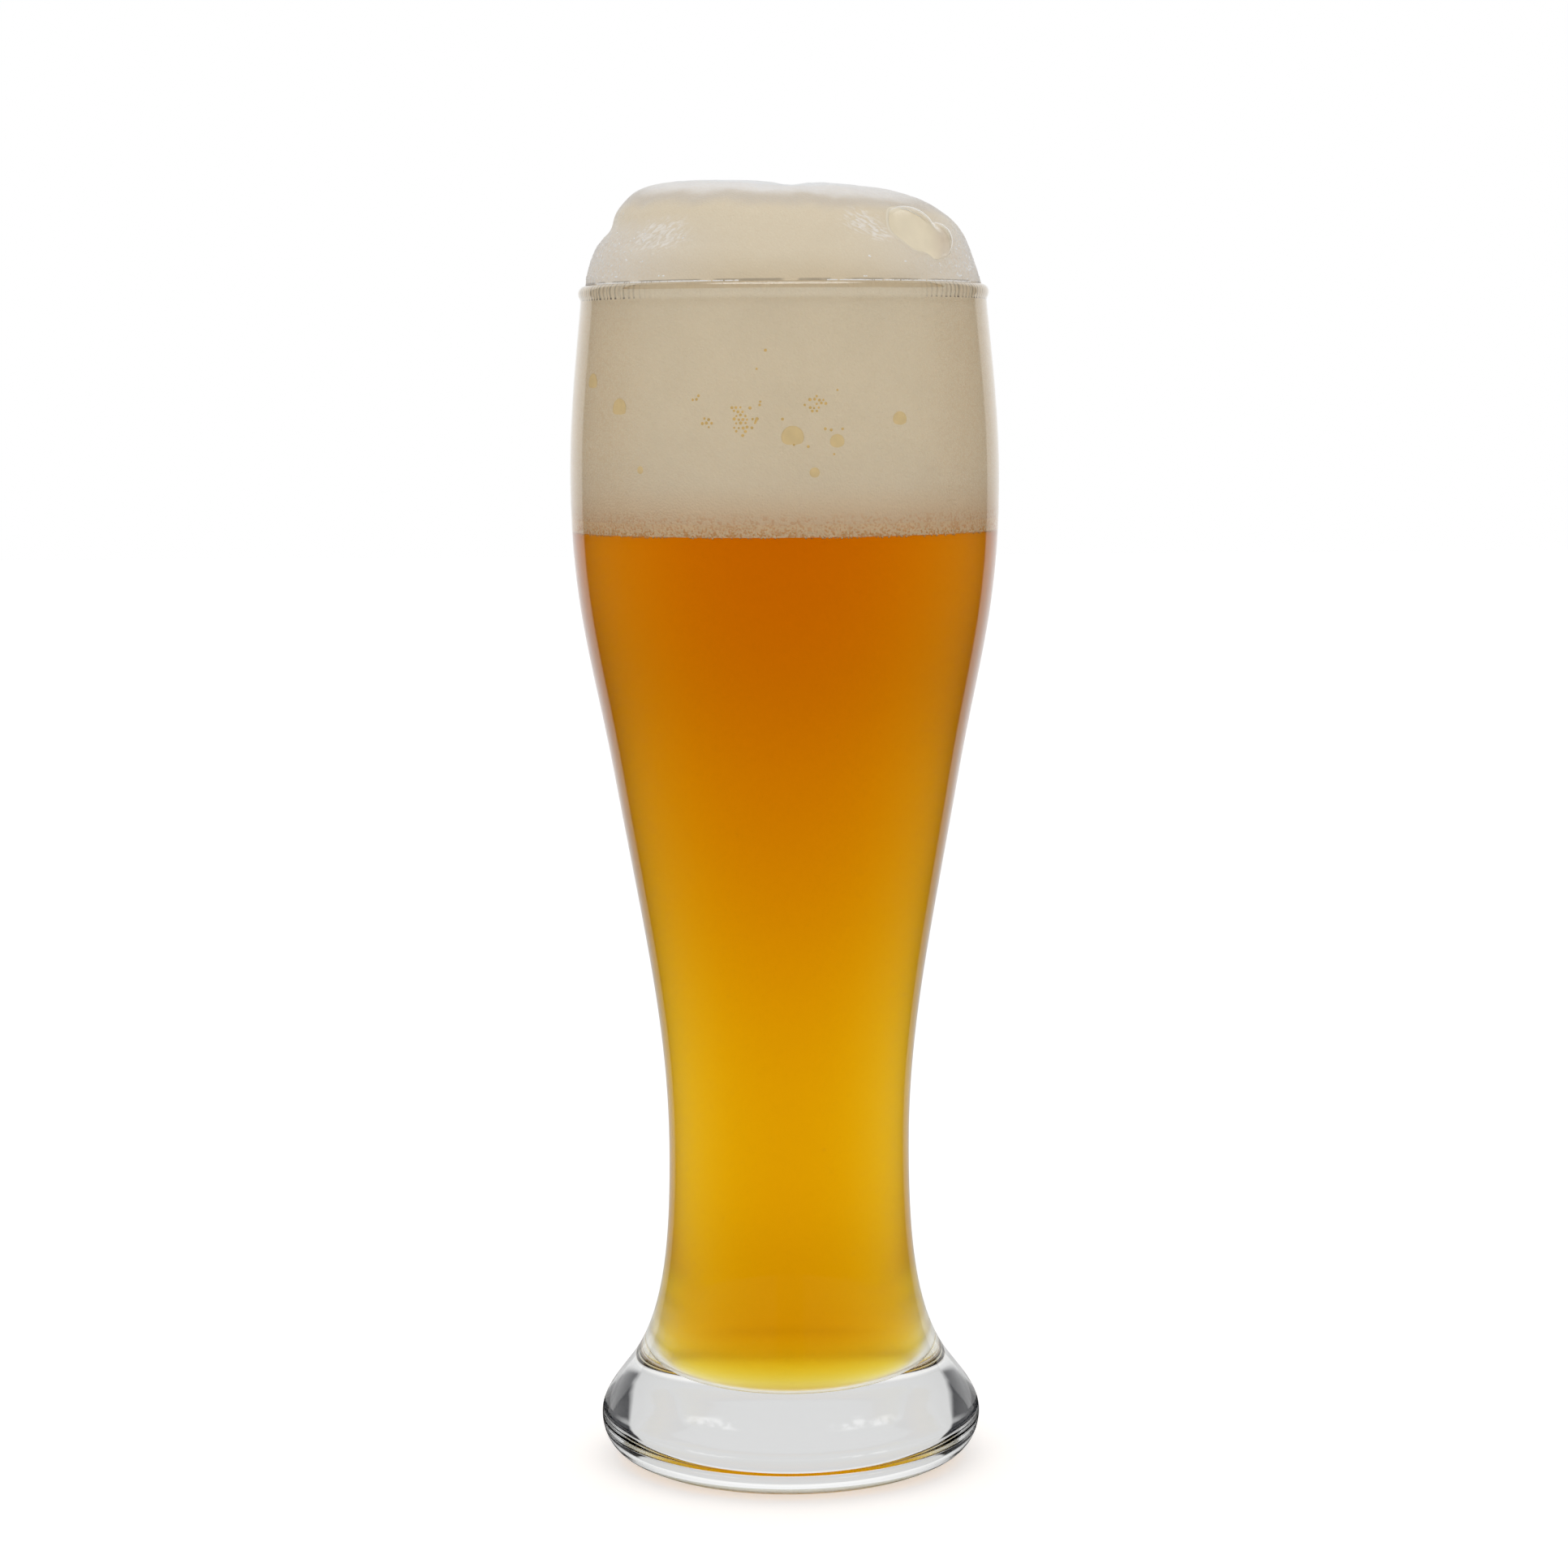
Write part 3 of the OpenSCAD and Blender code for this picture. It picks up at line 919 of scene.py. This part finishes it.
def bubbleEdge(skin):
    # how far the bubble reaches over the skin, in even directions from its middle, in mm
    near, far, step = bubbleLook["reach"]
    reach, count = [], bubbleLook["sides"]
    for k in range(count):
        a = 2 * math.pi * k / count
        reach.append(near)
        for i in range(round(near / step), round(far / step)):
            x, y = bubbleLook["middle"] + i * step * math.cos(a), i * step * math.sin(a)
            if domeHeight(x, y) > max(0.01, skinHeight(skin, x, y)):
                reach[-1] = i * step
    return [sum(reach[(k + j) % count] for j in (-1, 0, 1)) / 3 for k in range(count)]


def edgeShare(edge, local):
    # 0 in the middle of the bubble, 1 at its edge
    x, y = local.x - bubbleLook["middle"], local.y
    turn = math.atan2(y, x) / (2 * math.pi) * len(edge) % len(edge)
    k = int(turn)
    far = edge[k] + (edge[(k + 1) % len(edge)] - edge[k]) * (turn - k)
    return math.hypot(x, y) / far


def dishDepth(share):
    return bubbleLook["depth"] * max(0.0, 1 - share * share)


def edgePoint(edge, k, share):
    a = 2 * math.pi * k / len(edge)
    return bubbleLook["middle"] + share * edge[k] * math.cos(a), share * edge[k] * math.sin(a)


def addBubbleDish(skin, edge):
    # the smooth hollow under the film, with a low rim that runs into the foam
    material, tree, shader = newMaterial("bubbleDish", {
        "Roughness": 0.6, "IOR": wetIor, "Specular IOR Level": 0.1})
    colour = cloudy(tree, bubbleLook["dishTone"], 5, 0.05)
    colour = mixTone(markOf(tree, "hollow"), bubbleLook["edgeTone"], colour)
    colour = mixTone(markOf(tree, "shaded"), colour, bubbleLook["shadeTone"])
    join(colour, shader.inputs["Base Color"])
    low, high = bubbleLook["shade"]
    count = bubbleLook["dishRows"]
    rows, marks, ends = [], [], []
    for share, over in [(i / count, 0.0) for i in range(count + 1)] + list(bubbleLook["dishRim"]):
        row = []
        for k in range(len(edge) if share > 0 else 1):
            x, y = edgePoint(edge, k, share)
            level = skinHeight(skin, x, y) - dishDepth(share) + 0.06 * share ** 6 + over
            row.append(tuple(bubblePlace(x, y, level)))
            ends.append(held((x - low) / (high - low)) if share <= 1 else 0.0)
            soft = held((x + bubbleLook["fadeFrom"]) / bubbleLook["fadeOver"])
            marks.append(soft if share <= 1 else 0.0)
        rows.append(row)
    mesh = gridMesh("bubbleDish", rows, len(edge), {"hollow": marks, "shaded": ends})
    mesh.flip_normals()
    addPiece("bubbleDish", mesh, [material], "foam_crown")


def addCrownBubble(skin, edge):
    material, tree, shader = newMaterial("bubbleFilm", {
        "Roughness": 0.02, "IOR": wetIor, "Transmission Weight": 1.0, "Specular Tint": bubbleLook["mirror"]})
    join(cloudy(tree, bubbleLook["filmTone"], 4, 0.03), shader.inputs["Base Color"])
    film, sides, count = bubbleLook["film"], len(edge), bubbleLook["rows"]

    def dome(deep, i, k):
        x, y = edgePoint(edge, k, math.sin(math.pi / 2 * i / count))
        foot = skinHeight(skin, x, y)
        high = max(foot, domeHeight(x, y)) - deep if i < count else foot - 0.05 - deep
        return tuple(bubblePlace(x, y, high))

    rows = [[dome(film, 0, 0)]] + [[dome(film, i, k) for k in range(sides)] for i in range(1, count + 1)]
    rows += [[dome(0, i, k) for k in range(sides)] for i in range(count, 0, -1)] + [[dome(0, 0, 0)]]
    addPiece("crownBubble", gridMesh("crownBubble", rows, sides, sharp=50), [material],
             "crown_bubble")


# Single bubbles, set by Geometry Nodes on points that carry the direction they face

def bubbleScatter():
    tree, given, put = newGroup("bubbleScatter", "GeometryNodeTree", {
        "Geometry": "Geometry", "Small": "Float", "Large": "Float", "Flat": "Float", "Detail": "Int",
        "Seed": "Int", "Look": "Material"}, {"Geometry": "Geometry"})
    ball = addNode(tree, "GeometryNodeMeshIcoSphere", {"Radius": 1.0, "Subdivisions": given["Detail"]})
    spread = addNode(tree, "FunctionNodeRandomValue", {
        2: given["Small"], 3: given["Large"], "Seed": given["Seed"]}, data_type="FLOAT")
    size = next(s for s in spread.outputs if s.enabled)
    facing = addNode(tree, "GeometryNodeInputNamedAttribute", {"Name": "facing"}, data_type="FLOAT_VECTOR")
    way = next(s for s in facing.outputs if s.enabled)
    turned = addNode(tree, "FunctionNodeAlignRotationToVector", {"Vector": way}, axis="Z")
    scale = addNode(tree, "CombineXYZ", {0: size, 1: size, 2: times(size, given["Flat"])})
    placed = addNode(tree, "GeometryNodeInstanceOnPoints", {
        "Points": given["Geometry"], "Instance": ball.outputs["Mesh"], "Rotation": turned.outputs[0],
        "Scale": scale.outputs[0]})
    smooth = addNode(tree, "GeometryNodeSetShadeSmooth", {"Geometry": placed.outputs[0]})
    real = addNode(tree, "GeometryNodeRealizeInstances", {"Geometry": smooth.outputs[0]})
    done = addNode(tree, "GeometryNodeSetMaterial", {"Geometry": real.outputs[0], "Material": given["Look"]})
    join(done.outputs[0], put["Geometry"])
    return tree


def addBubbles(name, spots, material, look, stands, detail=2):
    points = bpy.data.meshes.new(name)
    points.from_pydata([tuple(spot) for spot, _ in spots], [], [])
    points.attributes.new("facing", "FLOAT_VECTOR", "POINT").data.foreach_set(
        "vector", [c for _, way in spots for c in way])
    maker = bpy.data.objects.new(name, points)
    scene.collection.objects.link(maker)
    modifier = maker.modifiers.new("bubbles", "NODES")
    modifier.node_group = scatter
    small, large = look["size"]
    given = {"Small": small * mm, "Large": large * mm, "Flat": look.get("flat", 1.0), "Detail": detail,
             "Seed": look["seed"], "Look": material}
    for item in scatter.interface.items_tree:
        if item.in_out == "INPUT" and item.name in given:
            modifier[item.identifier] = given[item.name]
    mesh = bpy.data.meshes.new_from_object(maker.evaluated_get(bpy.context.evaluated_depsgraph_get()))
    bpy.data.objects.remove(maker)
    mesh.name = name
    addPiece(name, mesh, [material], stands)


def wayOut(turn):
    return Vector((cosOf(turn), sinOf(turn), 0))


def wallSpot(turn, height, gap):
    # a place inside the glass: degrees to the right of the front, height, and how far into the wall
    way = wayOut(turn - 90)
    return way * (cavityRadius(height) + gap) + Vector((0, 0, height)), way


def bubbleMaterial(name, tone, size, depth, values):
    material, tree, shader = newMaterial(name, {"IOR": wetIor, **values})
    join(cloudy(tree, tone, size, depth), shader.inputs["Base Color"])
    return material


def addGlint(skin, edge):
    # a bright line of small bubbles, close together, along the upper edge of the film
    low, high, step = bubbleLook["glint"]
    out = bubbleFrame.col[2].to_3d()
    spots = []
    for k in range(len(edge)):
        one, two = (Vector(edgePoint(edge, j % len(edge), 0.99)) for j in (k, k + 1))
        count = max(1, round((two - one).length / step))
        for place in (one.lerp(two, i / count) for i in range(count)):
            if place.y > 0 and low < place.x < high:
                spots.append((bubblePlace(*place, skinHeight(skin, *place) + bubbleLook["glintRise"]), out))
    material = bubbleMaterial("filmEdge", (1, 0.99, 0.97, 1), 1.0, 0.03, {
        "Roughness": 0.15, "Specular IOR Level": 1.0})
    addBubbles("filmEdge", spots, material, bubbleLook["glintBeads"], "crown_bubble", 1)


beadLook = {
    "tone": (0.98, 0.82, 0.52, 1),
    "rows": 4,
    "perRow": 400,
    "size": (0.14, 0.27),  # mm, radius
    "pitch": 0.42,  # mm between the rows
    "ragged": 0.45,  # share of the lowest row left out
    "seed": 4,
}


def addFringeBeads():
    chance = random.Random(beadLook["seed"])
    material = bubbleMaterial("fringeBead", beadLook["tone"], 1.5, 0.15, {"Roughness": 0.25})
    spots, count = [], beadLook["perRow"]
    for i in range(beadLook["rows"]):
        for k in range(count):
            if i == 0 and chance.random() < beadLook["ragged"]:
                continue
            turn = 360 * (k + 0.5 * (i % 2) + chance.uniform(-0.25, 0.25)) / count
            height = beerTop + (beadLook["pitch"] * (i - 0.3) + chance.uniform(-0.1, 0.1)) * mm
            spots.append(wallSpot(turn, height, 0.0))
    addBubbles("fringeBeads", spots, material, beadLook, "bubble_fringe", 1)


rimLook = {
    # near white, partly a painted highlight
    "tone": (1, 0.98, 0.95, 1),
    "span": (12, 68),  # degrees from the front and the back, to both sides
    "count": 1200,  # places round the rim
    "missing": 0.15,  # share left out
    "size": (0.17, 0.25),  # mm, radius
    "seed": 23,
}


def addRimBeads():
    # fine white bubbles along the top of the lip, where the crown leaves it; their bright line is partly real
    # bubbles and partly a painted highlight of the wet rim
    chance = random.Random(rimLook["seed"])
    material = bubbleMaterial("rimHighlightBead", rimLook["tone"], 1.0, 0.03, {"Roughness": 0.2})
    near, far = rimLook["span"]
    up = Vector((0, 0, 1))
    spots = []
    for k in range(rimLook["count"]):
        turn = 360 * k / rimLook["count"]
        front = abs((turn + 90) % 360 - 180)
        front = min(front, 180 - front)
        if chance.random() < rimLook["missing"] or not near < front < far:
            continue
        spots.append((wayOut(turn) * glassOutline[lipIndex].x + up * rimTop, up))
    addBubbles("rimBeads", spots, material, rimLook, "foam_crown", 1)


wallLook = {
    "tone": (0.93, 0.765, 0.445, 1),
    "dotTone": (0.93, 0.69, 0.29, 1),
    "opening": 4.2,  # mm, the largest of the single bubbles
    "thick": 0.10,  # mm, how far they stand out
    "singles": (  # turn to the right of the front, height in the head, size
        (-0.18, 0.60, 0.90), (-0.14, 0.49, 0.95), (0.006, 0.37, 1.0), (0.039, 0.35, 0.66), (0.09, 0.44, 0.72),
        (-0.116, 0.23, 0.36), (0.022, 0.22, 0.46), (0.30, 0.55, 0.70), (0.42, 0.25, 0.85), (-0.36, 0.38, 0.75),
        (0.55, 0.62, 0.60)),
    "clusters": ((-11, 0.445, 3.1), (8.7, 0.51, 2.0), (-21, 0.43, 1.4), (-24, 0.53, 0.9)),  # degrees, height, mm
    "pitch": 0.86,  # mm between the bubbles of a cluster
    "strays": (14, 13.0),  # single small bubbles at the front, and how far they spread in mm
    "strayLevel": 0.4,  # their height in the head
    "size": (0.21, 0.34),  # mm, radius of the small bubbles
    "flat": 0.4,
    "seed": 7,
}


def addWallBubbles():
    chance = random.Random(wallLook["seed"])
    film = bubbleMaterial("wallFilm", wallLook["tone"], 2.0, 0.08, {"Roughness": 0.3})
    dot = bubbleMaterial("wallDot", wallLook["dotTone"], 0.8, 0.2, {"Roughness": 0.3})
    tall = headTop - headLow
    for i, (turn, level, share) in enumerate(wallLook["singles"]):
        radius = share * wallLook["opening"] / 2
        spot = wallSpot(360 * turn, headLow + level * tall, bubbleContact)
        size = {"size": (radius, radius), "flat": wallLook["thick"] / radius, "seed": 1}
        addBubbles("wallBubble%02d" % (i + 1), [spot], film, size, "foam_head", 3)
    spots, pitch = [], wallLook["pitch"]

    def addDot(turn, level, x, y):
        height = headLow + level * tall + y * mm
        spots.append(wallSpot(turn + math.degrees(x * mm / cavityRadius(height)), height, bubbleContact))

    for turn, level, radius in wallLook["clusters"]:
        reach = int(radius / pitch) + 1
        for i in range(-reach, reach + 1):
            for j in range(-reach, reach + 1):
                x = pitch * (i + 0.5 * (j % 2)) + chance.uniform(-0.12, 0.12)
                y = 0.87 * pitch * j + chance.uniform(-0.12, 0.12)
                if chance.random() > (math.hypot(x, y) / radius) ** 3:
                    addDot(turn, level, x, y)
    count, spread = wallLook["strays"]
    for _ in range(count):
        addDot(0, wallLook["strayLevel"], chance.gauss(0, spread / 2), chance.gauss(0, spread / 2))
    addBubbles("wallDots", spots, dot, wallLook, "foam_head")


risingLook = {
    "tone": (1, 0.97, 0.9, 1),
    "count": 260,
    "span": (24, 150),  # mm above the table
    "thinning": 1.6,  # how much rarer they are higher up
    "reach": 0.94,  # share of the cavity's radius
    "size": (0.10, 0.24),  # mm, radius
    "seed": 11,
}


def addRisingBubbles():
    chance = random.Random(risingLook["seed"])
    material = bubbleMaterial("risingBubble", risingLook["tone"], 3.0, 0.04, {
        "Transmission Weight": 1.0, "Roughness": 0.0})
    low, high = risingLook["span"]
    up = Vector((0, 0, 1))
    spots = []
    for _ in range(risingLook["count"]):
        height = (low + (high - low) * chance.random() ** risingLook["thinning"]) * mm
        away = risingLook["reach"] * cavityRadius(height) * math.sqrt(chance.random())
        spots.append((wayOut(chance.uniform(0, 360)) * away + up * height, up))
    addBubbles("risingBubbles", spots, material, risingLook, "beer")


frothLook = {
    "tone": (0.97, 0.95, 0.92, 1),
    # direction and spread in degrees, height and spread in mm, wisps, and their lean in degrees
    "patches": ((205, 14, 5.0, 3.0, 40, 20), (334, 14, 4.5, 2.6, 40, -20), (165, 32, 5.0, 4.0, 90, 0),
                (15, 32, 5.0, 4.0, 90, 0)),
    "span": (0.8, 14.0),  # mm above the rim
    "wisp": (1, 3),  # bubbles in a wisp
    "stray": 25,  # degrees, how far wisps turn from the lean
    "step": 0.27,  # mm between them
    "size": (0.09, 0.22),  # mm, radius
    "flat": 0.6,
    "sink": 0.02,  # mm into the foam
    "seed": 19,
}


def addFroth(edge):
    chance = random.Random(frothLook["seed"])
    material = bubbleMaterial("frothBubble", frothLook["tone"], 2.0, 0.04, {"Roughness": 0.2})
    inside = bubbleFrame.inverted()
    low, top = frothLook["span"]
    spots = []
    for turn, spread, level, tall, count, lean in frothLook["patches"]:
        for _ in range(count):
            height, here = chance.gauss(level, tall), chance.gauss(turn, spread)
            along = math.radians(chance.gauss(lean, frothLook["stray"]))
            for i in range(chance.randint(*frothLook["wisp"])):
                away = i * frothLook["step"]
                high = min(top, max(low, height + away * math.sin(along)))
                rise = math.degrees(math.asin((high / crownLook["height"]) ** (crownLook["square"] / 2)))
                side = here + math.degrees(away * math.cos(along) * mm / crownFoot)
                point = crownForm(rise, side)[0]
                if edgeShare(edge, inside @ point / mm) < 1.1:
                    continue
                way = (crownForm(rise + 0.5, side)[0] - point).cross(crownForm(rise, side - 0.5)[0] - point)
                way.normalize()
                spots.append((point - frothLook["sink"] * mm * way, way))
    addBubbles("crownFroth", spots, material, frothLook, "foam_crown")


scene.view_settings.view_transform = "Standard"
scene.cycles.blur_glossy = 0.0
scene.cycles.max_bounces = 32
scene.cycles.transmission_bounces = 32
scene.cycles.glossy_bounces = 12
scene.cycles.diffuse_bounces = 16
scene.cycles.caustics_refractive = True
scene.cycles.caustics_reflective = True

addCamera()
addWorld()
addFloor()
addGlass()
addBeer()
cells = foamCells()
ticks = lipGapShade()
addFoamHead(cells, ticks)
addFringeBody(cells)
skin, edge = addCrown(cells, ticks)
addBubbleDish(skin, edge)
addCrownBubble(skin, edge)
scatter = bubbleScatter()
addGlint(skin, edge)
addFringeBeads()
addRimBeads()
addWallBubbles()
addRisingBubbles()
addFroth(edge)
